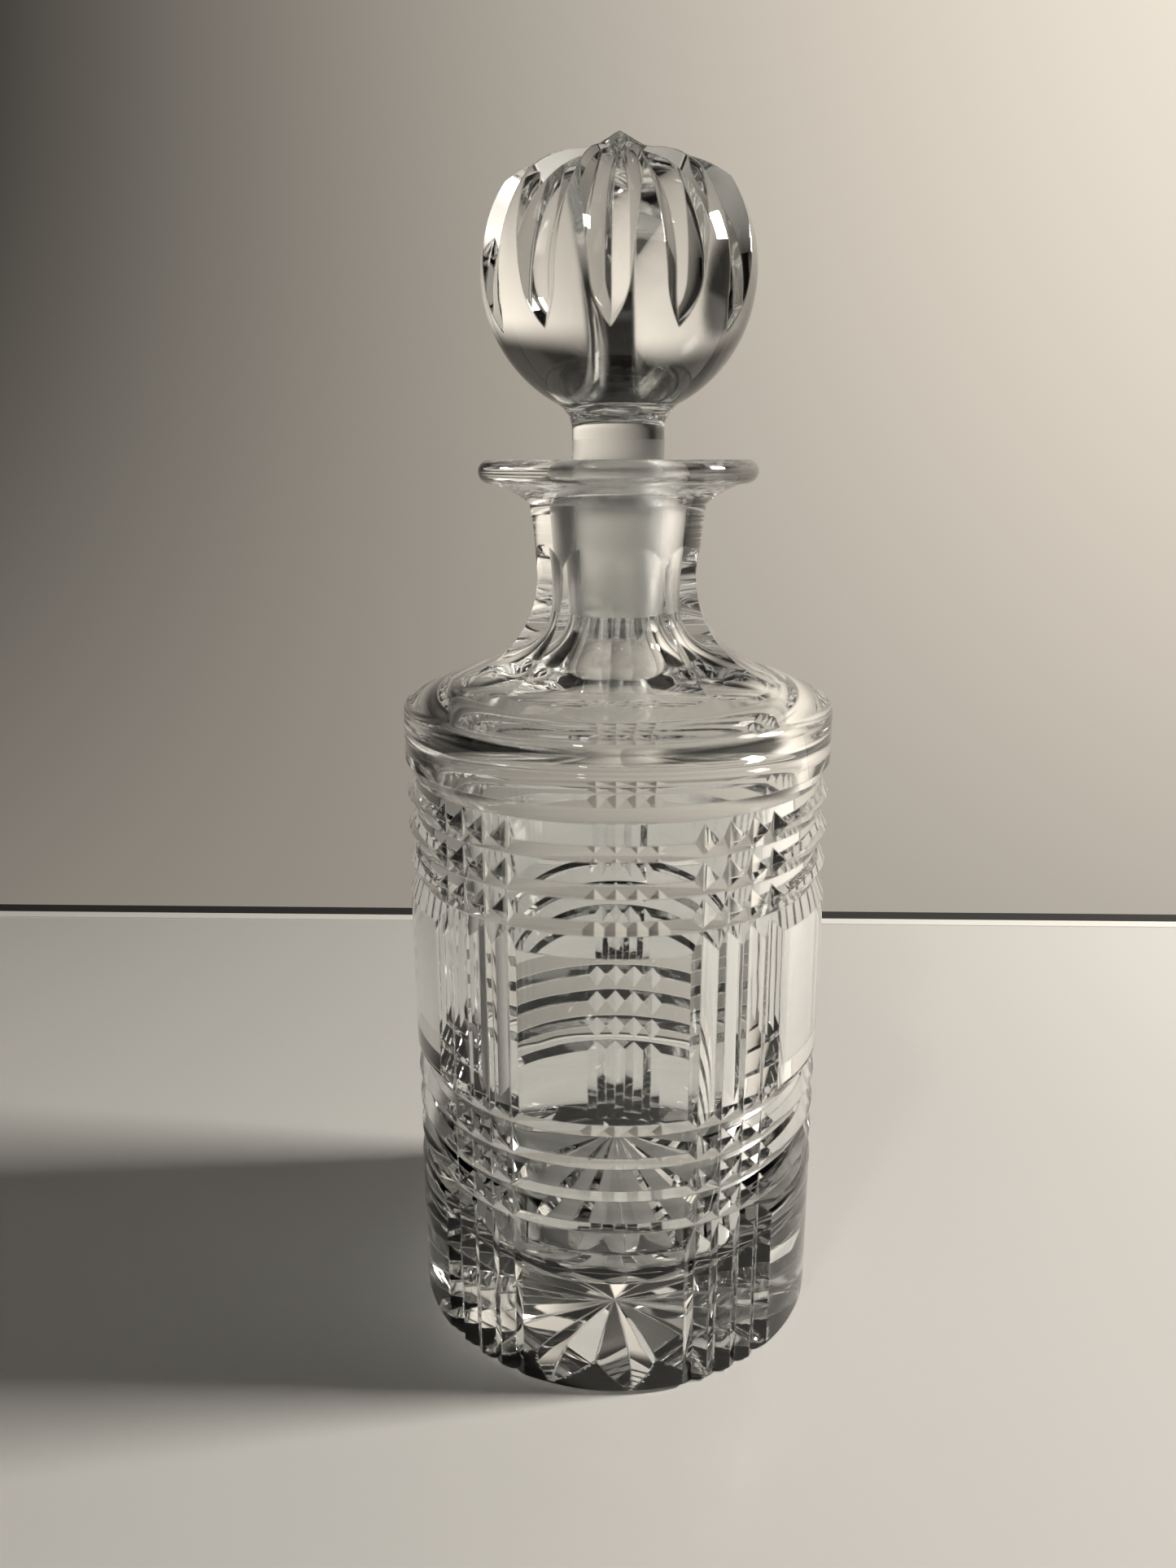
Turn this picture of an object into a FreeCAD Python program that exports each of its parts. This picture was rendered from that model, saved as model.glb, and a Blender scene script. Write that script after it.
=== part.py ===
"""Cut crystal decanter: a straight-walled bottle with a solid ball stopper.

Millimetres, +Z up. The origin is on the axis, in the plane the decanter stands on. A plain panel
between two bands of upright cuts faces -Y.
"""

import FreeCAD
import Part
import Sketcher
import os
import re

SHEET = "Sizes"

# Driving dimensions: lengths in millimetres, angles in degrees.
SIZES = {
    # The wall and the foot
    "body_radius": 47.5,
    "foot_chamfer": 1.0,
    # Level cuts: two groups of V cuts all the way round
    "ring_pitch": 7.7,
    "ring_depth": 2.1,
    "ring_crest_drop": 0.15,
    "lower_ring_height": 39.3,
    "upper_ring_height": 106.8,
    # Upright cuts, in bands
    "upright_pitch": 7.2,
    "upright_depth": 1.75,
    # Shoulder, neck and lip
    "neck_radius": 18.1,
    "throat_height": 173.0,
    "flare_radius": 22.2,
    "flare_end_slope": 17.3,
    "shoulder_radius": 68.0,
    "shoulder_end_slope": 28.5,
    "collar_radius": 19.1,
    "collar_height": 188.0,
    "neck_side_radius": 51.0,
    "lip_radius": 29.8,
    "lip_height": 197.0,
    "lip_edge_radius": 2.45,
    "lip_underside_radius": 18.0,
    "flute_depth": 1.1,
    "flute_wheel_radius": 22.5,
    "flute_top": 11.0,
    "flute_reach": 8.0,
    "flute_half_width": 14.0,
    # The hollow
    "wall_thickness": 6.7,
    "floor_height": 22.0,
    "floor_dish": 1.0,
    "floor_corner_radius": 10.0,
    "bore_mouth_radius": 9.85,
    "bore_mouth_chamfer": 0.7,
    "bore_end_radius": 8.35,
    "bore_end_height": 163.5,
    "inner_flare_radius": 15.0,
    "inner_slope": 18.0,
    "inner_corner_radius": 10.0,
    # The star under the foot
    "star_depth": 3.3,
    "star_reach": 45.1,
    "star_run_out": 20.0,
    "star_run_past": 22.3,
    "star_flank": 30.0,
    "star_turn": 7.5,
    # The stopper
    "plug_clearance": 0.05,
    "plug_chamfer": 0.6,
    "waist_radius": 9.8,
    "waist_fillet": 6.0,
    "ball_radius": 28.3,
    "ball_height": 233.5,
    "mitre_flank": 43.9,
    "mitre_tip": 26.5,
    "mitre_tip_slope": 44.7,
    "mitre_tip_run": 2.9,
    "mitre_blend_radius": 21.0,
    "mitre_blend_end": 24.3,
    "mitre_arc_radius": 25.6,
    "mitre_arc_end": 91.5,
    "mitre_exit_radius": 20.6,
    "mitre_exit_end": 50.0,
    "mitre_cutter": 12.0,
    "stopper_seam_turn": 12.0,
}

RINGS = 4
UPRIGHTS = 4
BANDS = 5
FLUTES = 10
PETALS = 16
MITRES = 12

# How far each cutter stands out of the glass
OVERCUT = 4.0

# A sketch's own numbers for its origin and for the ends of an edge
ORIGIN = -1
START = 1
END = 2
SAME_PLACE = 0.0001


def make_sheet(doc):
    """The spreadsheet that drives every other object."""
    sheet = doc.addObject("Spreadsheet::Sheet", SHEET)
    for row, (alias, number) in enumerate(SIZES.items(), start=1):
        sheet.set(f"A{row}", alias)
        sheet.set(f"B{row}", str(number))
        sheet.setAlias(f"B{row}", alias)
    doc.recompute()
    return sheet


def spell(text):
    """Write the sheet's name before each alias in an expression."""
    return re.sub("[a-z_]+", lambda word: f"{SHEET}.{word[0]}" if word[0] in SIZES else word[0], text)


def number(owner, text):
    """The value of an expression, as a plain number."""
    result = owner.evalExpression(spell(text))
    return float(getattr(result, "Value", result))


def origin_part(body, role):
    """A plane or axis of the body's own origin."""
    return next(item for item in body.Origin.OriginFeatures if item.Role == role)


def new_sketch(body, name, plane, lift=None, turn=None):
    """A sketch on a plane of the body's origin, lifted off it and turned about the body's axis."""
    sketch = body.newObject("Sketcher::SketchObject", name)
    sketch.AttachmentSupport = [(origin_part(body, plane), "")]
    sketch.MapMode = "FlatFace"
    if turn:
        upright = FreeCAD.Vector(0, 0, 1) if plane == "XY_Plane" else FreeCAD.Vector(0, 1, 0)
        angle = number(sketch, turn)
        sketch.AttachmentOffset = FreeCAD.Placement(FreeCAD.Vector(), FreeCAD.Rotation(upright, angle))
        sketch.setExpression("AttachmentOffset.Rotation.Angle", spell(turn))
    if lift:
        sketch.setExpression("AttachmentOffset.Base.z", spell(lift))
    return sketch


def arc_between(start, end, radius, left):
    """The short arc of a radius from start to end, bending to the left or the right."""
    chord = end.sub(start)
    half = chord.Length / 2
    middle = start.add(chord.multiply(0.5))
    along = end.sub(start).normalize()
    side = FreeCAD.Vector(-along.y, along.x, 0) if left else FreeCAD.Vector(along.y, -along.x, 0)
    rise = max(radius * radius - half * half, 0.0) ** 0.5
    centre = middle.add(FreeCAD.Vector(side).multiply(rise))
    bulge = centre.sub(FreeCAD.Vector(side).multiply(radius))
    return Part.Arc(start, bulge, end)


def draw_outline(sketch, corners, closed=True):
    """Draw an outline whose corners and radii are all bound to the sheet.

    A corner is (x, y) before a straight edge, or (x, y, radius, "left" or "right") before an arc
    with its centre on that side.
    """
    points = [FreeCAD.Vector(number(sketch, c[0]), number(sketch, c[1]), 0) for c in corners]
    count = len(corners) if closed else len(corners) - 1
    edges = []
    for index in range(count):
        start, end, corner = points[index], points[(index + 1) % len(points)], corners[index]
        if len(corner) == 2:
            edge = sketch.addGeometry(Part.LineSegment(start, end), False)
            edges.append((edge, START, END, None))
            continue
        arc = arc_between(start, end, number(sketch, corner[2]), corner[3] == "left")
        edge = sketch.addGeometry(arc, False)
        begins = sketch.getPoint(edge, START).distanceToPoint(start) < SAME_PLACE
        first, last = (START, END) if begins else (END, START)
        edges.append((edge, first, last, corner[2]))

    def bind(constraint, text):
        place = sketch.addConstraint(constraint)
        sketch.setExpression(f"Constraints[{place}]", spell(text))

    def place_end(edge, end, index):
        across, up = corners[index][:2]
        bind(Sketcher.Constraint("DistanceX", ORIGIN, START, edge, end, points[index].x), across)
        bind(Sketcher.Constraint("DistanceY", ORIGIN, START, edge, end, points[index].y), up)

    for index, (edge, first, last, radius) in enumerate(edges):
        place_end(edge, first, index)
        if radius:
            bind(Sketcher.Constraint("Radius", edge, number(sketch, radius)), radius)
        if closed or index + 1 < len(edges):
            following = edges[(index + 1) % len(edges)]
            sketch.addConstraint(Sketcher.Constraint("Coincident", edge, last, following[0], following[1]))
    if not closed:
        place_end(edges[-1][0], edges[-1][2], -1)
    return sketch


def groups_of_rings():
    """For each level cut from the foot upwards, its middle height and if it ends its group."""
    rings = []
    for group in ("lower_ring_height", "upper_ring_height"):
        for ring in range(RINGS):
            middle = f"{group} + ring_pitch * {ring}"
            ends = ring == 0, ring == RINGS - 1
            rings.append((middle, ends))
    return rings


def body_outline():
    """Corners of the half section of the bottle, from the foot up outside and back down inside."""
    corners = [
        ("0", "0"),
        ("body_radius - foot_chamfer", "0"),
        ("body_radius", "foot_chamfer"),
    ]
    for middle, (lowest, highest) in groups_of_rings():
        if lowest:
            corners.append(("body_radius", f"{middle} - ring_pitch / 2"))
        corners.append(("body_radius - ring_depth", middle))
        crest = "body_radius" if highest else "body_radius - ring_crest_drop"
        corners.append((crest, f"{middle} + ring_pitch / 2"))

    slope, steep = "sin(flare_end_slope)", "sin(shoulder_end_slope)"
    level, fall = "cos(flare_end_slope)", "cos(shoulder_end_slope)"
    flare_end = (
        f"neck_radius + flare_radius - flare_radius * {slope}",
        f"throat_height - flare_radius * {level}",
    )
    shoulder_end = (
        f"{flare_end[0]} + shoulder_radius * ({steep} - {slope})",
        f"{flare_end[1]} - shoulder_radius * ({level} - {fall})",
    )
    corner_radius = f"(body_radius - ({shoulder_end[0]})) / (1 - {steep})"
    corners += [
        ("body_radius", f"{shoulder_end[1]} - {corner_radius} * {fall}", corner_radius, "left"),
        (*shoulder_end, "shoulder_radius", "left"),
        (*flare_end, "flare_radius", "right"),
        ("neck_radius", "throat_height", "neck_side_radius", "right"),
        ("collar_radius", "collar_height", "lip_underside_radius", "right"),
        ("lip_radius - lip_edge_radius", "lip_height - 2 * lip_edge_radius", "lip_edge_radius", "left"),
        ("lip_radius", "lip_height - lip_edge_radius", "lip_edge_radius", "left"),
        ("lip_radius - lip_edge_radius", "lip_height"),
        ("bore_mouth_radius + bore_mouth_chamfer", "lip_height"),
        ("bore_mouth_radius", "lip_height - bore_mouth_chamfer"),
    ]

    inside = "body_radius - wall_thickness"
    tilt, flat = "sin(inner_slope)", "cos(inner_slope)"
    flare = (
        f"bore_end_radius + inner_flare_radius * (1 - {tilt})",
        f"bore_end_height - inner_flare_radius * {flat}",
    )
    corner_start = f"{inside} - inner_corner_radius * (1 - {tilt})"
    drop = "sin(inner_slope) / cos(inner_slope)"
    corner_height = f"{flare[1]} - ({corner_start} - ({flare[0]})) * {drop}"
    floor_edge = f"({inside} - floor_corner_radius)"
    floor_bow = f"({floor_edge} * {floor_edge} + floor_dish * floor_dish) / (2 * floor_dish)"
    corners += [
        ("bore_end_radius", "bore_end_height", "inner_flare_radius", "left"),
        flare,
        (corner_start, corner_height, "inner_corner_radius", "right"),
        (inside, f"{corner_height} - inner_corner_radius * {flat}"),
        (inside, "floor_height + floor_corner_radius", "floor_corner_radius", "right"),
        (f"{inside} - floor_corner_radius", "floor_height", floor_bow, "right"),
        ("0", "floor_height - floor_dish"),
    ]
    return corners


def revolve(body, name, corners, turn=None):
    """A solid of revolution about Z from an upright half section, its seam turned off the X axis."""
    section = draw_outline(new_sketch(body, f"{name}_section", "XZ_Plane", turn=turn), corners)
    solid = body.newObject("PartDesign::Revolution", name)
    solid.Profile = section
    solid.ReferenceAxis = (section, ["V_Axis"])
    solid.Angle = 360
    return solid


def repeat(body, name, feature, count):
    """Repeat a cut evenly round the axis and make it the end of the body's history."""
    pattern = body.newObject("PartDesign::PolarPattern", name)
    pattern.Originals = [feature]
    pattern.Axis = (origin_part(body, "Z_Axis"), [""])
    pattern.Angle = 360
    pattern.Occurrences = count
    body.Tip = pattern
    return pattern


def cut_uprights(body):
    """Four upright V cuts side by side, from the foot to the valley of the topmost level cut."""
    sketch = new_sketch(body, "upright_sections", "XY_Plane")
    span = (UPRIGHTS - 1) / 2
    outer = f"body_radius + {OVERCUT}"
    open_half = f"upright_pitch / 2 * (1 + {OVERCUT} / upright_depth)"
    depth = "body_radius - upright_depth"
    for index in range(UPRIGHTS):
        middle = f"(180 / {BANDS} - 90 + ({index - span}) * upright_pitch)"
        for_valley = (f"({depth}) * cos{middle}", f"({depth}) * sin{middle}")
        sides = []
        for sign in (-1, 1):
            edge = f"({middle} + ({sign}) * {open_half})"
            sides.append((f"({outer}) * cos{edge}", f"({outer}) * sin{edge}"))
        draw_outline(sketch, [for_valley, *sides])
    cut = body.newObject("PartDesign::Pocket", "upright_cuts")
    cut.Profile = sketch
    cut.Type = "Length"
    cut.Reversed = True
    cut.setExpression("Length", spell(f"upper_ring_height + ring_pitch * {RINGS - 1}"))
    return repeat(body, "upright_bands", cut, BANDS)


def sweep_cut(body, name, section, path):
    """A cut swept by a V section along a path."""
    cut = body.newObject("PartDesign::SubtractivePipe", name)
    cut.Profile = section
    cut.Spine = (path, [f"Edge{index + 1}" for index in range(path.GeometryCount)])
    cut.Transition = "Transformed"
    return cut


def cut_star(body):
    """Sixteen V cuts from the centre of the foot, each running out in a point at the rim."""
    path = new_sketch(body, "petal_path", "XZ_Plane", turn="star_turn")
    wheel = "(star_run_out * star_run_out + star_depth * star_depth) / (2 * star_depth)"
    below = f"star_depth - {wheel} + sqrt({wheel} * {wheel} - star_run_past * star_run_past)"
    corners = [
        ("0", "star_depth"),
        ("star_reach - star_run_out", "star_depth", wheel, "right"),
        ("star_reach - star_run_out + star_run_past", below),
    ]
    draw_outline(path, corners, closed=False)
    section = new_sketch(body, "petal_section", "YZ_Plane", turn="star_turn")
    half = f"(star_depth + {OVERCUT}) * cos(star_flank) / sin(star_flank)"
    sides = [(f"0 - {half}", f"0 - {OVERCUT}"), (half, f"0 - {OVERCUT}")]
    draw_outline(section, [("0", "star_depth"), *sides])
    return repeat(body, "star", sweep_cut(body, "star_petal", section, path), PETALS)


def cut_flutes(body):
    """Ten flat flutes that follow the neck down on to the shoulder, as a wheel cuts them."""
    sketch = new_sketch(body, "flute_section", "XZ_Plane")
    wheel = "flute_wheel_radius"
    middle = "(neck_radius - flute_depth + flute_wheel_radius)"
    top = f"{middle} - sqrt({wheel} * {wheel} - flute_top * flute_top)"
    foot = f"throat_height - sqrt({wheel} * {wheel} - flute_reach * flute_reach)"
    corners = [
        (top, "throat_height + flute_top", wheel, "left"),
        (f"{middle} + flute_reach", foot),
        (f"{middle} + flute_reach", "throat_height + flute_top"),
    ]
    draw_outline(sketch, corners)
    cut = body.newObject("PartDesign::Pocket", "flute_cut")
    cut.Profile = sketch
    cut.Type = "Length"
    cut.SideType = "Symmetric"
    cut.setExpression("Length", spell("2 * flute_half_width"))
    return repeat(body, "flutes", cut, FLUTES)


def plug_radius(height):
    """Radius of the stopper's plug at a height: the bore's, less the clearance."""
    length = "(lip_height - bore_mouth_chamfer - bore_end_height)"
    taper = f"(bore_mouth_radius - bore_end_radius) / {length}"
    return f"bore_end_radius - plug_clearance + {taper} * ({height} - bore_end_height)"


def stopper_outline():
    """Corners of the half section of the stopper, from the plug's foot to the top of the ball."""
    fillet_across = "(waist_radius + waist_fillet)"
    fillet_reach = "(ball_radius + waist_fillet)"
    rise = f"sqrt({fillet_reach} * {fillet_reach} - {fillet_across} * {fillet_across})"
    share = f"ball_radius / {fillet_reach}"
    plug_top = "lip_height - bore_mouth_chamfer"
    return [
        ("0", "bore_end_height"),
        (f"{plug_radius('bore_end_height')} - plug_chamfer", "bore_end_height"),
        (plug_radius("(bore_end_height + plug_chamfer)"), "bore_end_height + plug_chamfer"),
        (plug_radius(f"({plug_top})"), plug_top),
        ("waist_radius", f"ball_height - {rise}", "waist_fillet", "right"),
        (f"{fillet_across} * {share}", f"ball_height - {rise} * {share}", "ball_radius", "left"),
        ("ball_radius", "ball_height", "ball_radius", "left"),
        ("0", "ball_height + ball_radius"),
    ]


def cut_mitres(body):
    """Twelve V cuts down the ball, from a point on its top to points below its middle."""
    path = new_sketch(body, "mitre_path", "XZ_Plane")
    steep = "sin(mitre_tip_slope) / cos(mitre_tip_slope)"
    blend_start = ("mitre_tip_run", f"ball_height + mitre_tip - mitre_tip_run * {steep}")
    blend_finish = (
        f"{blend_start[0]} + mitre_blend_radius * (sin(mitre_tip_slope) - sin(mitre_blend_end))",
        f"{blend_start[1]} - mitre_blend_radius * (cos(mitre_blend_end) - cos(mitre_tip_slope))",
    )
    arc_finish = (
        f"{blend_finish[0]} + mitre_arc_radius * (sin(mitre_arc_end) - sin(mitre_blend_end))",
        f"{blend_finish[1]} + mitre_arc_radius * (cos(mitre_arc_end) - cos(mitre_blend_end))",
    )
    exit_finish = (
        f"{arc_finish[0]} + mitre_exit_radius * (sin(mitre_arc_end) - sin(mitre_exit_end))",
        f"{arc_finish[1]} + mitre_exit_radius * (cos(mitre_arc_end) - cos(mitre_exit_end))",
    )
    corners = [
        (*exit_finish, "mitre_exit_radius", "right"),
        (*arc_finish, "mitre_arc_radius", "left"),
        (*blend_finish, "mitre_blend_radius", "right"),
        blend_start,
        (f"0 - {OVERCUT}", f"ball_height + mitre_tip + {OVERCUT} * {steep}"),
    ]
    draw_outline(path, corners, closed=False)
    section = new_sketch(body, "mitre_section", "XY_Plane")
    lean = "mitre_exit_end - 90"
    tilted = FreeCAD.Rotation(FreeCAD.Vector(0, 1, 0), number(section, lean))
    section.AttachmentOffset = FreeCAD.Placement(FreeCAD.Vector(), tilted)
    section.setExpression("AttachmentOffset.Base.x", spell(exit_finish[0]))
    section.setExpression("AttachmentOffset.Base.z", spell(exit_finish[1]))
    section.setExpression("AttachmentOffset.Rotation.Angle", spell(lean))
    half = "mitre_cutter * cos(mitre_flank) / sin(mitre_flank)"
    draw_outline(section, [("0", "0"), ("mitre_cutter", f"0 - {half}"), ("mitre_cutter", half)])
    return repeat(body, "mitres", sweep_cut(body, "mitre_cut", section, path), MITRES)


def make_decanter(doc):
    """The blown and cut bottle."""
    body = doc.addObject("PartDesign::Body", "DecanterBody")
    body.Label = "decanter_body"
    revolve(body, "blank", body_outline())
    doc.recompute()
    steps = (cut_uprights, cut_star, cut_flutes)
    run_cuts(doc, body, steps)
    return body


def make_stopper(doc):
    """The solid stopper: ground plug, waist and cut ball in one piece."""
    body = doc.addObject("PartDesign::Body", "BallStopper")
    body.Label = "ball_stopper"
    revolve(body, "stopper_blank", stopper_outline(), turn="stopper_seam_turn")
    doc.recompute()
    run_cuts(doc, body, (cut_mitres,))
    return body


def run_cuts(doc, body, steps):
    """Make each set of cuts and check that it took glass away."""
    for step in steps:
        before = body.Shape.Volume
        step(body)
        doc.recompute()
        removed = before - body.Shape.Volume
        print(f"{body.Label}: {step.__name__} removed {removed:.0f} cubic mm")
        if removed <= 0:
            raise RuntimeError(f"{step.__name__} removed nothing")


def write_parts(doc, bodies):
    """Check the whole document, then write one file for each piece."""
    failed = [item.Name for item in doc.Objects if {"Invalid", "Error"} & set(item.State)]
    if failed:
        raise RuntimeError(f"objects failed: {failed}")
    os.makedirs("parts", exist_ok=True)
    for body in bodies:
        shape = body.Shape
        if shape.isNull() or not shape.isValid() or len(shape.Solids) != 1:
            raise RuntimeError(f"{body.Label} isn't one valid solid")
        shape.exportStep(f"parts/{body.Label}.step")
        print(f"{body.Label}: {shape.Volume / 1000:.1f} ml of glass, {len(shape.Faces)} faces")


def main():
    doc = FreeCAD.newDocument("CutCrystalDecanter")
    make_sheet(doc)
    bodies = [make_decanter(doc), make_stopper(doc)]
    doc.recompute()
    write_parts(doc, bodies)


main()
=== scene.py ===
"""Looks of the cut crystal decanter: finely carved glass, a pale table, soft light and the camera.

Shapes are worked out in millimetres, in the frame's axes, and turned into metres as meshes are made.
"""

import math

import bmesh
import bpy
import numpy as np
from mathutils import Matrix, Vector


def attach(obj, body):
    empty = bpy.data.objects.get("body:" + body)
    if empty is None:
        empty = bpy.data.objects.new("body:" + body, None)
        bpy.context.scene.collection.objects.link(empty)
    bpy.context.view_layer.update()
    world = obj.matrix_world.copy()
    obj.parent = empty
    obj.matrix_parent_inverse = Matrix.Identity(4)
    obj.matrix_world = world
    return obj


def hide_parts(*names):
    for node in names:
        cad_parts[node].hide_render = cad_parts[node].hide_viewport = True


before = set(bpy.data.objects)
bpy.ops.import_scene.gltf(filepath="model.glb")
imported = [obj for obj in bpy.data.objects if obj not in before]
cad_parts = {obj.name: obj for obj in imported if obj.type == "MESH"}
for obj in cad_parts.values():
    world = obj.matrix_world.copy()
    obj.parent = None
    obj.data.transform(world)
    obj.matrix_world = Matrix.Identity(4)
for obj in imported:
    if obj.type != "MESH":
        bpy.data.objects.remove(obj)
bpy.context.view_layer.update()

MM = 0.001
BOTTLE_COLUMNS = 300
STOPPER_COLUMNS = 288
SHARP = math.radians(13)
CUT_ROUNDING = 0.45
MERGE_GAP = 0.012
SMALLEST_EDGE = 0.002
EDGE_HALVINGS = 24
DEPTH_HALVINGS = 30
HAZE_PAST_LIP = 4.0
CRYSTAL_INDEX = 1.545

# The bottle's outside, as the CAD model has it
BODY_RADIUS = 47.5
FOOT_CHAMFER = 1.0
RING_PITCH = 7.7
RING_DEPTH = 2.1
CREST_DROP = 0.15
RINGS = 4
RING_GROUPS = (39.3, 106.8)
UPRIGHT_PITCH = math.radians(7.2)
UPRIGHT_DEPTH = 1.75
UPRIGHTS = 4
BANDS = 5
BAND_TURN = math.radians(18)
NECK_RADIUS = 18.1
THROAT_HEIGHT = 173.0
FLARE_RADIUS = 22.2
FLARE_END = math.radians(17.3)
SHOULDER_RADIUS = 68.0
SHOULDER_END = math.radians(28.5)
COLLAR = (19.1, 188.0)
NECK_SIDE_RADIUS = 51.0
LIP_RADIUS = 29.8
LIP_HEIGHT = 197.0
LIP_EDGE = 2.45
LIP_UNDERSIDE = 18.0
FLUTES = 10
FLUTE_DEPTH = 1.1
FLUTE_WHEEL = 22.5

# The hollow
WALL = 6.7
FLOOR_HEIGHT = 22.0
FLOOR_DISH = 1.0
INNER_CORNER = 10.0
BORE_MOUTH = 9.85
MOUTH_CHAMFER = 0.7
BORE_END = (8.35, 163.5)
INNER_FLARE = 15.0
INNER_SLOPE = math.radians(18)

# The star under the foot
PETALS = 16
STAR_DEPTH = 3.3
STAR_REACH = 45.1
STAR_RUN_OUT = 20.0
STAR_FLANK = math.tan(math.radians(30))
STAR_TURN = math.radians(7.5)

# The stopper
PLUG_CLEARANCE = 0.05
PLUG_CHAMFER = 0.6
WAIST_RADIUS = 9.8
WAIST_FILLET = 6.0
BALL_RADIUS = 28.3
BALL_HEIGHT = 233.5
MITRES = 12
MITRE_FLANK = math.tan(math.radians(43.9))
MITRE_TIP = 26.5
MITRE_TIP_SLOPE = math.radians(44.7)
MITRE_TIP_RUN = 2.9
MITRE_BLEND = 21.0
MITRE_BLEND_END = math.radians(24.3)
MITRE_ARC = 25.6
MITRE_ARC_END = math.radians(91.5)
MITRE_EXIT = 20.6


# ---------------------------------------------------------------- profiles

def line(start, end, steps):
    """Rows along a straight stretch: radius, height and the direction into the glass, on its left."""
    share = np.linspace(0, 1, steps + 1)
    across, up = end[0] - start[0], end[1] - start[1]
    length = math.hypot(across, up)
    into = np.tile((-up / length, across / length), (steps + 1, 1))
    return np.column_stack([start[0] + share * across, start[1] + share * up, into])


def arc(start, end, radius, steps, hollow=False):
    """Rows along the short arc between two points; a hollow arc has its centre outside the glass."""
    start, end = np.array(start), np.array(end)
    chord = end - start
    half = np.hypot(*chord) / 2
    left = np.array([-chord[1], chord[0]]) / (2 * half)
    sign = -1 if hollow else 1
    centre = (start + end) / 2 + sign * left * math.sqrt(max(radius**2 - half**2, 0))
    first = math.atan2(*(start - centre)[::-1])
    turn = math.atan2(*(end - centre)[::-1]) - first
    turn = (turn + math.pi) % (2 * math.pi) - math.pi
    if abs(abs(turn) - math.pi) < 1e-6:
        turn = sign * math.pi
    angle = first + np.linspace(0, 1, steps + 1) * turn
    out = np.column_stack([np.cos(angle), np.sin(angle)])
    return np.column_stack([centre + radius * out, -sign * out])


def join(*stretches):
    """One run of rows from several, without doubled ends inside it."""
    rows = [stretches[0]]
    for stretch in stretches[1:]:
        rows.append(stretch[1:])
    return np.vstack(rows)


# ---------------------------------------------------------------- carving

def spread(rows, columns=BOTTLE_COLUMNS):
    """Spin rows into a grid of places: angle, radius, height and the direction into the glass."""
    angles = np.linspace(0, 2 * math.pi, columns + 1)
    grid = np.empty((5, len(rows), columns + 1))
    grid[0] = angles
    grid[1:] = rows.T[:, :, None]
    return grid


def uncut(places):
    return np.zeros(places.shape[1], int)


def no_depth(kinds, places):
    return np.zeros(places.shape[1])


def carve(grid, classify=uncut, depth=no_depth):
    """Cut a grid of places and give its points and triangles, with an edge wherever two cuts meet.

    classify says which cut each place is in, and depth how deep a named cut is at a place.
    """
    rows, columns = grid.shape[1:]
    places = grid.reshape(5, -1)
    corner = np.arange(rows * columns).reshape(rows, columns)
    a, b = corner[:-1, :-1].ravel(), corner[:-1, 1:].ravel()
    c, d = corner[1:, 1:].ravel(), corner[1:, :-1].ravel()
    triangles = np.vstack([np.column_stack([a, b, c]), np.column_stack([a, c, d])])
    kinds = classify(places)

    sides = np.stack([triangles, np.roll(triangles, -1, axis=1)], axis=2).reshape(-1, 2)
    keys, side_of = np.unique(np.sort(sides, axis=1), axis=0, return_inverse=True)
    side_of = side_of.reshape(-1, 3)
    crossing = kinds[keys[:, 0]] != kinds[keys[:, 1]]
    low, high = keys[crossing].T
    first, second = kinds[low], kinds[high]
    begin, finish = np.zeros(len(low)), np.ones(len(low))
    for _ in range(EDGE_HALVINGS):
        middle = (begin + finish) / 2
        here = places[:, low] + (places[:, high] - places[:, low]) * middle
        inside = depth(first, here) > depth(second, here)
        begin = np.where(inside, middle, begin)
        finish = np.where(inside, finish, middle)
    share = (begin + finish) / 2
    between = places[:, low] + (places[:, high] - places[:, low]) * share
    extra = np.full(len(keys), -1)
    extra[crossing] = places.shape[1] + np.arange(len(low))

    added = extra[side_of]
    count = (added >= 0).sum(axis=1)
    pieces = [triangles[count == 0]]
    two = count == 2
    tri, mid = triangles[two], added[two]
    whole = np.argmax(mid < 0, axis=1)
    turn = (np.arange(3) + whole[:, None] + 2) % 3
    tri, mid = np.take_along_axis(tri, turn, 1), np.take_along_axis(mid, turn, 1)
    lone, left, right = tri.T
    near, _, far = mid.T
    pieces += [np.column_stack(t) for t in ((lone, near, far), (near, left, right), (near, right, far))]
    three = count == 3
    tri, mid = triangles[three], added[three]
    hub = places.shape[1] + len(low) + np.arange(len(tri))
    for index in range(3):
        tip, ahead, behind = tri[:, index], mid[:, index], mid[:, index - 1]
        pieces += [np.column_stack([tip, ahead, hub]), np.column_stack([tip, hub, behind])]
    centres = between[:, mid - places.shape[1]].mean(axis=2) if len(tri) else np.empty((5, 0))

    everything = np.hstack([places, between, centres])
    every_kind = np.concatenate([kinds, first, classify(centres)])
    into = np.maximum(depth(every_kind, everything), 0)
    radius = everything[1] + into * everything[3]
    height = everything[2] + into * everything[4]
    points = np.column_stack([radius * np.cos(everything[0]), radius * np.sin(everything[0]), height])
    return points, np.vstack(pieces)


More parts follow.
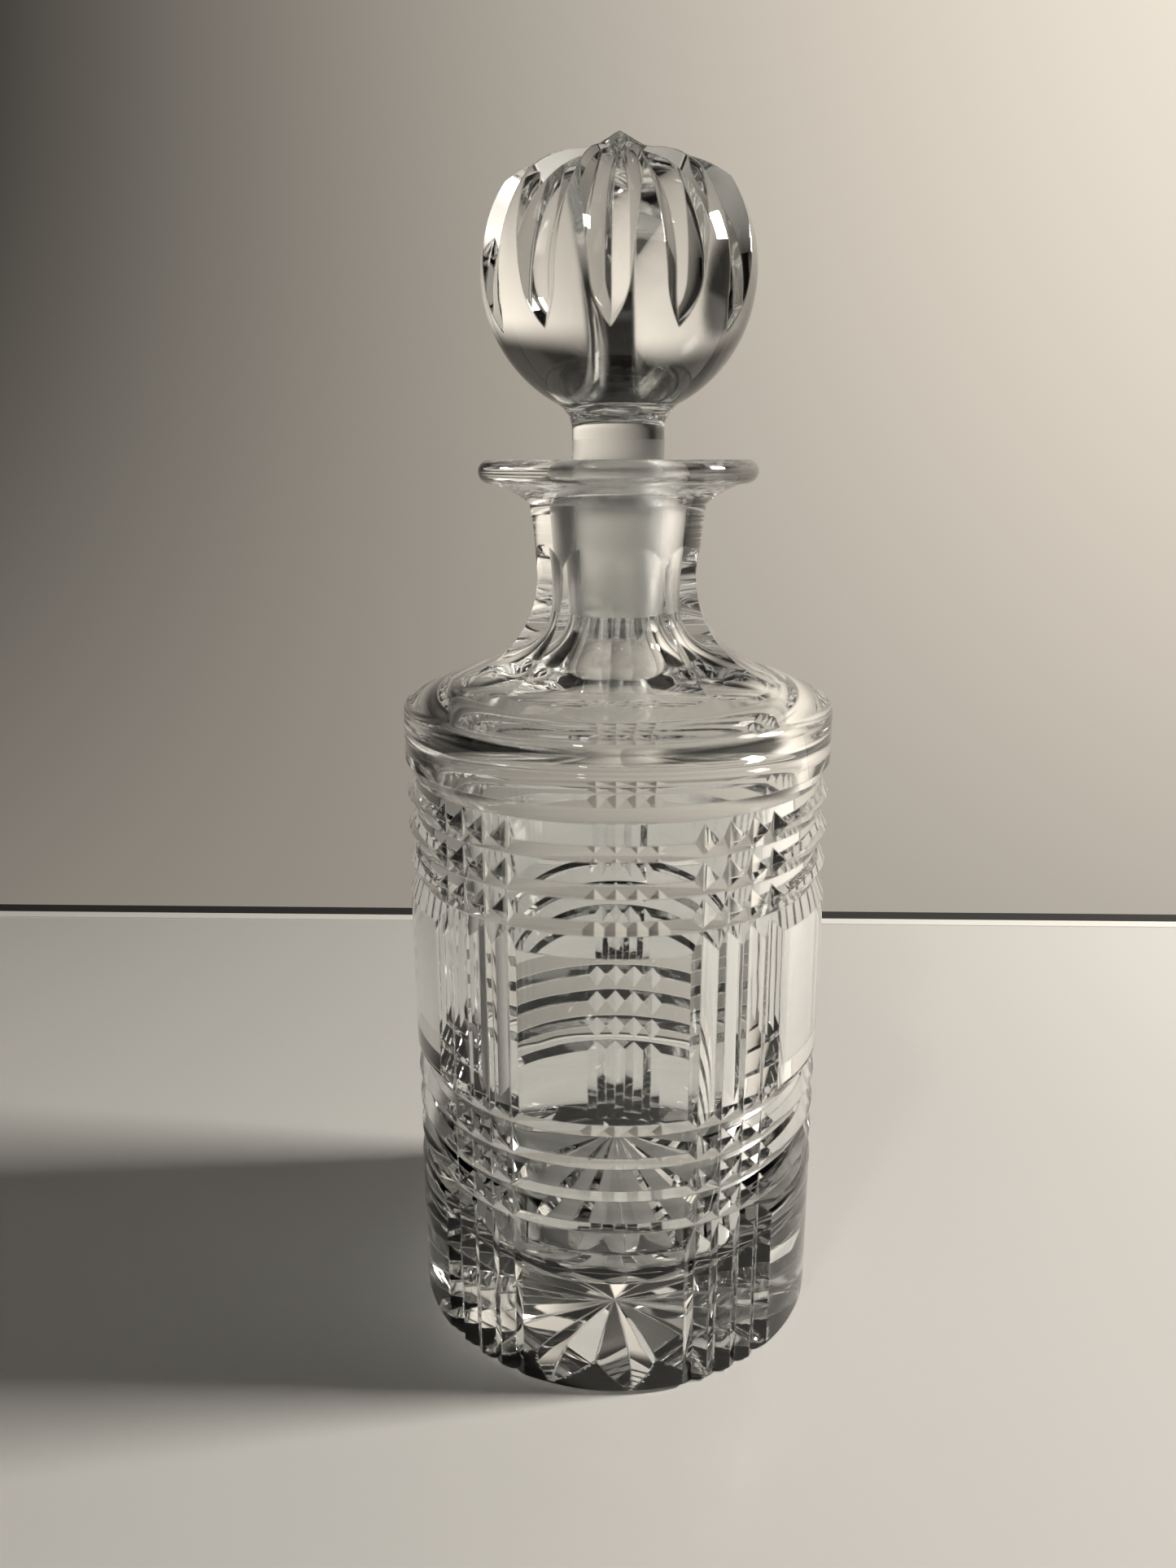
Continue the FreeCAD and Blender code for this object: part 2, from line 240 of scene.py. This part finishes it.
def weld(name, patches):
    """One closed glass mesh from carved patches, with its sharp cuts kept sharp."""
    points, faces, start = [], [], 0
    for patch_points, patch_faces in patches:
        points.append(patch_points)
        faces.append(patch_faces + start)
        start += len(patch_points)
    mesh = bpy.data.meshes.new(name)
    mesh.from_pydata((np.vstack(points) * MM).tolist(), [], np.vstack(faces).tolist())
    shape = bmesh.new()
    shape.from_mesh(mesh)
    bmesh.ops.remove_doubles(shape, verts=shape.verts, dist=MERGE_GAP * MM)
    bmesh.ops.dissolve_degenerate(shape, dist=SMALLEST_EDGE * MM, edges=shape.edges)
    bmesh.ops.triangulate(shape, faces=shape.faces)
    if shape.calc_volume(signed=True) < 0:
        bmesh.ops.reverse_faces(shape, faces=shape.faces)
    open_edges = sum(not edge.is_manifold for edge in shape.edges)
    print(f"{name}: {len(shape.faces)} faces, {open_edges} open edges, {shape.calc_volume() * 1e6:.1f} ml")
    shape.to_mesh(mesh)
    shape.free()
    mesh.shade_smooth()
    mesh.set_sharp_from_angle(angle=SHARP)
    piece = bpy.data.objects.new(name, mesh)
    bpy.context.scene.collection.objects.link(piece)
    return piece


def nearest(angle, pitch, turn=0.0):
    """Angle from the nearest of a set of evenly spaced directions."""
    return (angle - turn + pitch / 2) % pitch - pitch / 2


# ---------------------------------------------------------------- the cuts

def upright_depth(angle):
    """Depth of the upright V cuts below the wall, negative between the bands."""
    across = nearest(angle, 2 * math.pi / BANDS, BAND_TURN)
    inside = np.abs(across) <= UPRIGHTS * UPRIGHT_PITCH / 2 + 1e-9
    offset = np.abs(nearest(across, UPRIGHT_PITCH, UPRIGHT_PITCH / 2))
    valley = BODY_RADIUS - UPRIGHT_DEPTH
    half = BODY_RADIUS * math.sin(UPRIGHT_PITCH / 2)
    flank = (BODY_RADIUS * math.cos(UPRIGHT_PITCH / 2) - valley) / half
    reach = valley / (np.cos(offset) - flank * np.sin(offset))
    return np.where(inside, BODY_RADIUS - reach, -1.0)


def ring_depth(height):
    """Depth of the level V cuts below the wall, negative outside the two groups."""
    deepest = np.full(height.shape, -9.0)
    for group in RING_GROUPS:
        for ring in range(RINGS):
            offset = height - (group + ring * RING_PITCH)
            outer = (ring == 0) & (offset < 0) | (ring == RINGS - 1) & (offset > 0)
            slope = np.where(outer, RING_DEPTH, RING_DEPTH - CREST_DROP) / (RING_PITCH / 2)
            deepest = np.maximum(deepest, RING_DEPTH - np.abs(offset) * slope)
    return deepest


TOP_VALLEY = RING_GROUPS[-1] + (RINGS - 1) * RING_PITCH


def wall_depth(kinds, places):
    upright = np.where(places[2] <= TOP_VALLEY + 1e-6, upright_depth(places[0]), -5.0)
    return np.choose(kinds, [np.zeros(len(kinds)), ring_depth(places[2]), upright])


def wall_kinds(places):
    depths = [wall_depth(np.full(places.shape[1], kind), places) for kind in range(3)]
    depths[0] = depths[0] + 1e-6
    return np.argmax(depths, axis=0)


FLARE_CENTRE = (NECK_RADIUS + FLARE_RADIUS, THROAT_HEIGHT)


def flute_depth(kinds, places):
    """How far into the glass the flute wheel's rim is, along each place's own direction."""
    angle, radius, height, into_radius, into_height = places
    tilt = np.cos(nearest(angle, 2 * math.pi / FLUTES))
    x, z = radius * tilt - (NECK_RADIUS - FLUTE_DEPTH + FLUTE_WHEEL), height - THROAT_HEIGHT
    dx, dz = into_radius * tilt, into_height
    a, b, c = dx * dx + dz * dz, x * dx + z * dz, x * x + z * z - FLUTE_WHEEL**2
    reach = (-b + np.sqrt(np.maximum(b * b - a * c, 0))) / a
    missed = (b * b < a * c) | (c > 0) & (b < 0)
    return np.where(kinds == 1, np.where(missed, -1.0, reach), 0.0)


def flute_kinds(places):
    return (flute_depth(np.ones(places.shape[1], int), places) > 1e-6).astype(int)


def petal_flank(petal, side, angle, radius):
    """Depth of one flank of one petal of the star, from the foot's plane."""
    offset = angle - STAR_TURN - petal * 2 * math.pi / PETALS
    along, across = radius * np.cos(offset), radius * np.sin(offset) * side
    wheel = (STAR_RUN_OUT**2 + STAR_DEPTH**2) / (2 * STAR_DEPTH)
    past = np.clip(along - (STAR_REACH - STAR_RUN_OUT), 0, wheel * 0.99)
    valley = STAR_DEPTH - wheel + np.sqrt(wheel**2 - past**2)
    return valley - across * STAR_FLANK


def star_depth(kinds, places):
    petal, side = np.divmod(kinds - 1, 2)
    return np.where(kinds == 0, 0.0, petal_flank(petal, 1 - 2 * side, places[0], places[1]))


def star_kinds(places):
    petal = np.round((places[0] - STAR_TURN) / (2 * math.pi / PETALS)).astype(int)
    offset = places[0] - STAR_TURN - petal * 2 * math.pi / PETALS
    kinds = 1 + 2 * petal + (offset < 0)
    return np.where(star_depth(kinds, places) > 1e-6, kinds, 0)


def above_mitre(x, z):
    """Height of a point above a mitre's valley line, in the plane of the cut, from the ball's centre."""
    slope, lean = MITRE_TIP_SLOPE, MITRE_BLEND_END
    start = (MITRE_TIP_RUN, MITRE_TIP - MITRE_TIP_RUN * math.tan(slope))
    finish = (
        start[0] + MITRE_BLEND * (math.sin(slope) - math.sin(lean)),
        start[1] - MITRE_BLEND * (math.cos(lean) - math.cos(slope)),
    )
    centre = (finish[0] - MITRE_ARC * math.sin(lean), finish[1] - MITRE_ARC * math.cos(lean))
    hollow = (finish[0] + MITRE_BLEND * math.sin(lean), finish[1] + MITRE_BLEND * math.cos(lean))
    exit_centre = (
        centre[0] + (MITRE_ARC + MITRE_EXIT) * math.sin(MITRE_ARC_END),
        centre[1] + (MITRE_ARC + MITRE_EXIT) * math.cos(MITRE_ARC_END),
    )
    around = np.hypot(x - centre[0], z - centre[1]) - MITRE_ARC
    blend = MITRE_BLEND - np.hypot(x - hollow[0], z - hollow[1])
    straight = (z - MITRE_TIP + x * math.tan(slope)) * math.cos(slope)
    leaving = MITRE_EXIT - np.hypot(x - exit_centre[0], z - exit_centre[1])
    turned = np.arctan2(x - centre[0], z - centre[1])
    swept = np.arctan2(hollow[0] - x, hollow[1] - z)
    upper = np.where(turned > lean, around, np.where(swept < slope, blend, straight))
    return np.where(turned > MITRE_ARC_END, leaving, upper)


def mitre_depth(kinds, places):
    """How far in from the ball's surface the mitre cuts are, towards the ball's centre."""
    angle, radius, height = places[:3]
    offset = nearest(angle, 2 * math.pi / MITRES)
    unit_r, unit_z = radius / BALL_RADIUS, (height - BALL_HEIGHT) / BALL_RADIUS
    shallow, deep = np.full(radius.shape, -3.0), np.full(radius.shape, 12.0)
    for _ in range(DEPTH_HALVINGS):
        middle = (shallow + deep) / 2
        reach = BALL_RADIUS - middle
        across = np.abs(reach * unit_r * np.sin(offset))
        outside = above_mitre(reach * unit_r * np.cos(offset), reach * unit_z) > across * MITRE_FLANK
        shallow, deep = np.where(outside, middle, shallow), np.where(outside, deep, middle)
    return np.where(kinds == 1, (shallow + deep) / 2, 0.0)


def mitre_kinds(places):
    return (mitre_depth(np.ones(places.shape[1], int), places) > 1e-6).astype(int)


# ---------------------------------------------------------------- the pieces of glass

def foot_grid():
    """The foot, from its centre to its rim, drawn in where the upright cuts nick the rim."""
    rim = BODY_RADIUS - FOOT_CHAMFER
    settled = 0.92 * STAR_REACH
    rows = join(
        line((0, 0), (settled, 0), 44),
        line((settled, 0), (rim, 0), 7),
        line((rim, 0), (BODY_RADIUS, FOOT_CHAMFER), 1),
    )
    grid = spread(rows)
    grid[3], grid[4] = 0.0, 1.0
    nick = np.maximum(upright_depth(grid[0, 0]), 0)
    at_rim = np.minimum(rim, BODY_RADIUS - nick)
    share = np.clip((grid[1] - settled) / (rim - settled), 0, 1)
    grid[1] = np.where(grid[1] <= rim, grid[1] + share * (at_rim - rim), BODY_RADIUS - nick)
    return grid


def outside_patches():
    """The bottle's outside above the foot, up to the edge of the lip."""
    levels = [FOOT_CHAMFER]
    for group in RING_GROUPS:
        first, last = group - RING_PITCH / 2, group + (RINGS - 0.5) * RING_PITCH
        levels += [*np.linspace(levels[-1], first, 9)[1:], *np.linspace(first, last, 6 * RINGS + 1)[1:]]
    corner_end = (
        FLARE_CENTRE[0] - FLARE_RADIUS * math.sin(FLARE_END),
        THROAT_HEIGHT - FLARE_RADIUS * math.cos(FLARE_END),
    )
    shoulder = (
        corner_end[0] + SHOULDER_RADIUS * (math.sin(SHOULDER_END) - math.sin(FLARE_END)),
        corner_end[1] - SHOULDER_RADIUS * (math.cos(FLARE_END) - math.cos(SHOULDER_END)),
    )
    corner_radius = (BODY_RADIUS - shoulder[0]) / (1 - math.sin(SHOULDER_END))
    band_top = (BODY_RADIUS, shoulder[1] - corner_radius * math.cos(SHOULDER_END))
    wall = np.column_stack([
        np.full(len(levels), BODY_RADIUS), levels, np.full(len(levels), -1.0), np.zeros(len(levels)),
    ])
    band = line((BODY_RADIUS, levels[-1]), band_top, 3)
    neck = join(
        arc(band_top, shoulder, corner_radius, 10),
        arc(shoulder, corner_end, SHOULDER_RADIUS, 12),
        arc(corner_end, (NECK_RADIUS, THROAT_HEIGHT), FLARE_RADIUS, 26, hollow=True),
        arc((NECK_RADIUS, THROAT_HEIGHT), COLLAR, NECK_SIDE_RADIUS, 16, hollow=True),
    )
    lip_bottom = (LIP_RADIUS - LIP_EDGE, LIP_HEIGHT - 2 * LIP_EDGE)
    lip = join(
        arc(COLLAR, lip_bottom, LIP_UNDERSIDE, 10, hollow=True),
        arc(lip_bottom, (LIP_RADIUS - LIP_EDGE, LIP_HEIGHT), LIP_EDGE, 20),
        line((LIP_RADIUS - LIP_EDGE, LIP_HEIGHT), (BORE_MOUTH + MOUTH_CHAMFER, LIP_HEIGHT), 5),
    )
    return [
        carve(spread(wall), wall_kinds, wall_depth),
        carve(spread(band)),
        carve(spread(neck), flute_kinds, flute_depth),
        carve(spread(lip)),
    ]


def inside_patches():
    """The bore, the hollow and its floor."""
    inside = BODY_RADIUS - WALL
    mouth = (BORE_MOUTH, LIP_HEIGHT - MOUTH_CHAMFER)
    flare = (
        BORE_END[0] + INNER_FLARE * (1 - math.sin(INNER_SLOPE)),
        BORE_END[1] - INNER_FLARE * math.cos(INNER_SLOPE),
    )
    corner_across = inside - INNER_CORNER * (1 - math.sin(INNER_SLOPE))
    corner = (corner_across, flare[1] - (corner_across - flare[0]) * math.tan(INNER_SLOPE))
    wall_top = (inside, corner[1] - INNER_CORNER * math.cos(INNER_SLOPE))
    wall_foot = (inside, FLOOR_HEIGHT + INNER_CORNER)
    floor_edge = inside - INNER_CORNER
    bow = (floor_edge**2 + FLOOR_DISH**2) / (2 * FLOOR_DISH)
    rows = join(
        line((BORE_MOUTH + MOUTH_CHAMFER, LIP_HEIGHT), mouth, 1),
        line(mouth, BORE_END, 6),
        arc(BORE_END, flare, INNER_FLARE, 10),
        line(flare, corner, 4),
        arc(corner, wall_top, INNER_CORNER, 12, hollow=True),
        line(wall_top, wall_foot, 8),
        arc(wall_foot, (floor_edge, FLOOR_HEIGHT), INNER_CORNER, 14, hollow=True),
        arc((floor_edge, FLOOR_HEIGHT), (0, FLOOR_HEIGHT - FLOOR_DISH), bow, 6, hollow=True),
    )
    return [carve(spread(rows))]


def make_bottle():
    patches = [carve(foot_grid(), star_kinds, star_depth), *outside_patches(), *inside_patches()]
    return weld("decanter_glass", patches)


def plug_radius(height):
    taper = (BORE_MOUTH - BORE_END[0]) / (LIP_HEIGHT - MOUTH_CHAMFER - BORE_END[1])
    return BORE_END[0] - PLUG_CLEARANCE + taper * (height - BORE_END[1])


def make_stopper():
    foot = BORE_END[1]
    mouth = LIP_HEIGHT - MOUTH_CHAMFER
    across, reach = WAIST_RADIUS + WAIST_FILLET, BALL_RADIUS + WAIST_FILLET
    rise = math.sqrt(reach**2 - across**2)
    waist = (WAIST_RADIUS, BALL_HEIGHT - rise)
    junction = (across * BALL_RADIUS / reach, BALL_HEIGHT - rise * BALL_RADIUS / reach)
    start = (plug_radius(foot) - PLUG_CHAMFER, foot)
    chamfered = (plug_radius(foot + PLUG_CHAMFER), foot + PLUG_CHAMFER)
    stem = join(
        line((0, foot), start, 4),
        line(start, chamfered, 1),
        line(chamfered, (plug_radius(mouth), mouth), 6),
        line((plug_radius(mouth), mouth), waist, 3),
        arc(waist, junction, WAIST_FILLET, 12, hollow=True),
    )
    middle = (BALL_RADIUS, BALL_HEIGHT)
    ball = join(
        arc(junction, middle, BALL_RADIUS, 34),
        arc(middle, (0, BALL_HEIGHT + BALL_RADIUS), BALL_RADIUS, 50),
    )
    stem_grid, ball_grid = spread(stem, STOPPER_COLUMNS), spread(ball, STOPPER_COLUMNS)
    return weld("stopper_glass", [carve(stem_grid), carve(ball_grid, mitre_kinds, mitre_depth)])


# ---------------------------------------------------------------- materials

def feed(links, socket, value):
    """Give a socket another node's output, or a plain number."""
    if isinstance(value, bpy.types.NodeSocket):
        links.new(value, socket)
    else:
        socket.default_value = value


def math_node(tree, operation, *values, clamp=False):
    node = tree.nodes.new("ShaderNodeMath")
    node.operation = operation
    node.use_clamp = clamp
    for socket, value in zip(node.inputs, values):
        feed(tree.links, socket, value)
    return node.outputs[0]


def ranged(tree, value, start, end, low, high):
    """A smooth step from low to high as a value goes from start to end."""
    node = tree.nodes.new("ShaderNodeMapRange")
    node.interpolation_type = "SMOOTHSTEP"
    feed(tree.links, node.inputs["Value"], value)
    for key, number in (("From Min", start), ("From Max", end), ("To Min", low), ("To Max", high)):
        node.inputs[key].default_value = number
    return node.outputs["Result"]


def crystal(name, hazy_low, hazy_high, hazy_radius):
    """Clear polished crystal: faint polishing waves, fine scuffs, and a hazy ground joint."""
    material = bpy.data.materials.new(name)
    material.use_nodes = True
    nodes, links = material.node_tree.nodes, material.node_tree.links
    shader = nodes["Principled BSDF"]
    shader.inputs["Base Color"].default_value = (0.975, 0.985, 0.98, 1)
    shader.inputs["Transmission Weight"].default_value = 1.0
    shader.inputs["IOR"].default_value = CRYSTAL_INDEX
    place = nodes.new("ShaderNodeTexCoord").outputs["Object"]

    def combine(operation, *values, clamp=False):
        return math_node(material.node_tree, operation, *values, clamp=clamp)

    def noise(scale, detail=2.0):
        node = nodes.new("ShaderNodeTexNoise")
        node.inputs["Scale"].default_value = scale
        node.inputs["Detail"].default_value = detail
        links.new(place, node.inputs["Vector"])
        return node.outputs["Fac"]

    split = nodes.new("ShaderNodeSeparateXYZ")
    links.new(place, split.inputs[0])
    x, y, z = split.outputs
    radius = combine("SQRT", combine("ADD", combine("MULTIPLY", x, x), combine("MULTIPLY", y, y)))
    above = combine("GREATER_THAN", z, hazy_low * MM)
    below = combine("LESS_THAN", z, hazy_high * MM)
    near = combine("LESS_THAN", radius, hazy_radius * MM)
    ground = combine("MULTIPLY", combine("MULTIPLY", above, below), near)

    wave = noise(70.0, 1.0)
    scuff = noise(900.0, 4.0)
    smear = combine("MULTIPLY", combine("SUBTRACT", noise(22.0), 0.55, clamp=True), 0.10)
    polish = combine("ADD", smear, 0.004)
    rough = combine("ADD", polish, combine("MULTIPLY", ground, 0.32))
    links.new(rough, shader.inputs["Roughness"])

    height = combine("ADD", wave, combine("MULTIPLY", scuff, 0.006))
    bump = nodes.new("ShaderNodeBump")
    bump.inputs["Strength"].default_value = 0.35
    bump.inputs["Distance"].default_value = 0.00012
    links.new(height, bump.inputs["Height"])
    rounded = nodes.new("ShaderNodeBevel")
    rounded.samples = 4
    rounded.inputs["Radius"].default_value = CUT_ROUNDING * MM
    links.new(rounded.outputs["Normal"], bump.inputs["Normal"])
    links.new(bump.outputs["Normal"], shader.inputs["Normal"])
    return material


def surface(name, colour, roughness, grain=0.0, scale=300.0):
    """A plain stage surface with a slight grain."""
    material = bpy.data.materials.new(name)
    material.use_nodes = True
    nodes, links = material.node_tree.nodes, material.node_tree.links
    shader = nodes["Principled BSDF"]
    shader.inputs["Base Color"].default_value = (*colour, 1)
    shader.inputs["Roughness"].default_value = roughness
    if grain:
        noise = nodes.new("ShaderNodeTexNoise")
        noise.inputs["Scale"].default_value = scale
        bump = nodes.new("ShaderNodeBump")
        bump.inputs["Distance"].default_value = grain
        bump.inputs["Strength"].default_value = 0.3
        links.new(noise.outputs["Fac"], bump.inputs["Height"])
        links.new(bump.outputs["Normal"], shader.inputs["Normal"])
    return material


# ---------------------------------------------------------------- stage, lights and camera

def slab(name, low, high, turn, material):
    """A box of the stage, from its lowest to its highest corner, turned about the decanter's axis."""
    low, high = Vector(low), Vector(high)
    mesh = bpy.data.meshes.new(name)
    shape = bmesh.new()
    bmesh.ops.create_cube(shape, size=1.0)
    middle, size = (low + high) / 2, high - low
    fitted = Matrix.Translation(middle) @ Matrix.Diagonal((*size, 1))
    bmesh.ops.transform(shape, matrix=fitted, verts=shape.verts)
    bmesh.ops.rotate(shape, matrix=Matrix.Rotation(turn, 3, "Z"), verts=shape.verts)
    shape.to_mesh(mesh)
    shape.free()
    mesh.materials.append(material)
    piece = bpy.data.objects.new(name, mesh)
    bpy.context.scene.collection.objects.link(piece)
    return piece


def soft_light(name, place, aim, size, power, colour):
    """A rectangular soft light at a place, aimed at a point."""
    light = bpy.data.lights.new(name, "AREA")
    light.shape = "RECTANGLE"
    light.size, light.size_y = size
    light.energy = power
    light.color = colour
    lamp = bpy.data.objects.new(name, light)
    lamp.location = place
    lamp.rotation_euler = (Vector(aim) - Vector(place)).to_track_quat("-Z", "Y").to_euler()
    lamp.visible_camera = False
    bpy.context.scene.collection.objects.link(lamp)
    return lamp


def surroundings():
    """A pale warm wall behind, bright to the right and dark to the upper left, in a dim room."""
    world = bpy.data.worlds.new("room")
    world.use_nodes = True
    bpy.context.scene.world = world
    nodes, links = world.node_tree.nodes, world.node_tree.links
    backdrop = nodes["Background"]
    direction = nodes.new("ShaderNodeTexCoord").outputs["Generated"]
    split = nodes.new("ShaderNodeSeparateXYZ")
    links.new(direction, split.inputs[0])
    x, y, z = split.outputs

    def combine(operation, *values):
        return math_node(world.node_tree, operation, *values)

    wall = ranged(world.node_tree, y, 0.1, 0.55, 0.03, 1.0)
    overhead = ranged(world.node_tree, z, 0.32, 0.52, 1.0, 0.03)
    level = combine("ADD", combine("MULTIPLY", z, 0.25), 0.46)
    slant = combine("ADD", combine("MULTIPLY", z, 1.22), 0.683)
    glow = combine("ADD", level, combine("MULTIPLY", x, slant))
    glow = combine("MINIMUM", combine("MAXIMUM", glow, 0.03), 1.5)
    strength = combine("MULTIPLY", combine("MULTIPLY", wall, glow), overhead)
    links.new(strength, backdrop.inputs["Strength"])
    backdrop.inputs["Color"].default_value = (1.0, 0.905, 0.775, 1)


def make_camera():
    """The camera, placed in units of the body's radius, looking a little down past the axis."""
    unit = BODY_RADIUS * MM
    turn = math.radians(4.8)
    down, roll = math.radians(15.48), math.radians(0.16)
    camera = bpy.data.cameras.new("camera")
    camera.sensor_fit = "VERTICAL"
    camera.sensor_height = 36.0
    camera.lens = 27.03
    camera.clip_start = 0.01
    eye = bpy.data.objects.new("camera", camera)
    spin = Matrix.Rotation(turn, 4, "Z")
    tilt = Matrix.Rotation(math.pi / 2 - down, 4, "X") @ Matrix.Rotation(-roll, 4, "Z")
    eye.matrix_world = spin @ Matrix.Translation(Vector((-0.139, -5.468, 4.154)) * unit) @ tilt
    bpy.context.scene.collection.objects.link(eye)
    bpy.context.scene.camera = eye


def dim_towards_camera(material):
    """Paint shade into a stage surface's colour, so it falls away into the dark on the side the camera
    stands.
    """
    nodes, links = material.node_tree.nodes, material.node_tree.links
    shader = nodes["Principled BSDF"]
    pale = tuple(shader.inputs["Base Color"].default_value)
    split = nodes.new("ShaderNodeSeparateXYZ")
    links.new(nodes.new("ShaderNodeTexCoord").outputs["Object"], split.inputs[0])
    fade = ranged(material.node_tree, split.outputs[1], -1.0, -0.4, 0.0, 1.0)
    blend = nodes.new("ShaderNodeMix")
    blend.data_type = "RGBA"
    # painted shade: the base colour darkens to near black towards the camera
    dark = tuple(0.06 * channel for channel in pale[:3])
    links.new(fade, blend.inputs[0])
    blend.inputs[6].default_value = (*dark, 1)
    blend.inputs[7].default_value = pale
    links.new(blend.outputs[2], shader.inputs["Base Color"])


def make_stage():
    turn = math.radians(3.0)
    edge = 4.84 * BODY_RADIUS * MM
    table = surface("table_top", (0.60, 0.59, 0.57), 0.16, 0.00002)
    dim_towards_camera(table)
    slab("table", (-1.6, -2.4, -0.03), (1.6, edge, 0.0), turn, table)
    # painted shadow: a near-black strip behind the table's back edge stands in for the shade in the gap
    # between table and wall
    gap = surface("shadow_gap", (0.02, 0.02, 0.02), 0.6)
    slab("gap_shadow_strip", (-1.6, edge, -0.03), (1.6, edge + 0.012, -0.001), turn, gap)
    # painted highlight: a paler strip along the table's back edge stands in for the light caught by its
    # rounded edge
    edge_highlight = surface("table_edge_highlight", (0.80, 0.79, 0.76), 0.12)
    slab("edge_highlight_strip", (-1.6, edge - 0.006, -0.01), (1.6, edge, 0.0004), turn, edge_highlight)
    surroundings()
    ball = (0, 0, BALL_HEIGHT * MM)
    soft_light("key", (0.99, 0.10, 0.69), ball, (0.22, 0.26), 22.0, (1.0, 0.955, 0.88))
    soft_light("spark", (-0.35, -0.85, 1.25), ball, (0.10, 0.10), 2.0, (1.0, 0.97, 0.93))


def finish_glass(piece, body, node, material):
    piece.data.materials.append(material)
    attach(piece, body)
    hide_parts(node)


def main():
    scene = bpy.context.scene
    scene.view_settings.view_transform = "Standard"
    scene.cycles.max_bounces = 32
    scene.cycles.transmission_bounces = 32
    scene.cycles.glossy_bounces = 12
    joint_low, joint_high = BORE_END[1], LIP_HEIGHT
    body_glass = crystal("body_crystal", joint_low, joint_high, BORE_MOUTH + 0.2)
    stopper_glass = crystal("stopper_crystal", joint_low + 0.3, joint_high + HAZE_PAST_LIP, BORE_MOUTH + 0.2)
    finish_glass(make_bottle(), "bottle", "decanter_body", body_glass)
    finish_glass(make_stopper(), "stopper", "ball_stopper", stopper_glass)
    make_stage()
    make_camera()


main()
